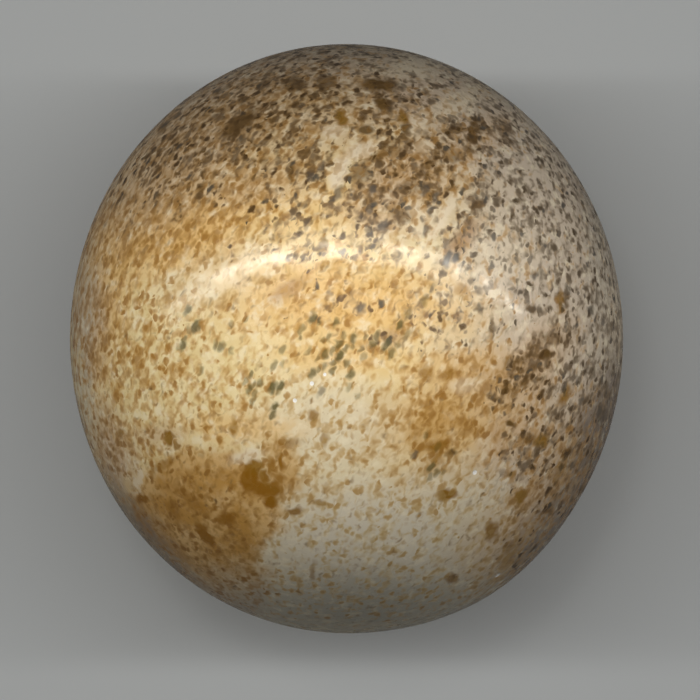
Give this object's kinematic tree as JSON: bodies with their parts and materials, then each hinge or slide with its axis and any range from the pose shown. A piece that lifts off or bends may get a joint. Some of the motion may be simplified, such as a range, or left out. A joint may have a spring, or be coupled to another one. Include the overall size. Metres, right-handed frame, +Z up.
{
  "type": "jasper sphere",
  "caption": "Polished ball of speckled cream, tan and brown jasper, a little longer than wide, with a small flat spot that it rests on.",
  "frame": {"origin": "centre of the small flat spot that the ball rests on", "axes": "+Z up from the flat spot through the ball; +Y along its longest way; +X across it. The patterned face of the picture looks up, along +Z, with the top of the picture towards +Y."},
  "size_m": [0.05, 0.0532, 0.0512],
  "materials": {
    "jasper": "polished"
  },
  "bodies": {
    "root": {"jasper_ball": "jasper"}
  },
  "joints": []
}
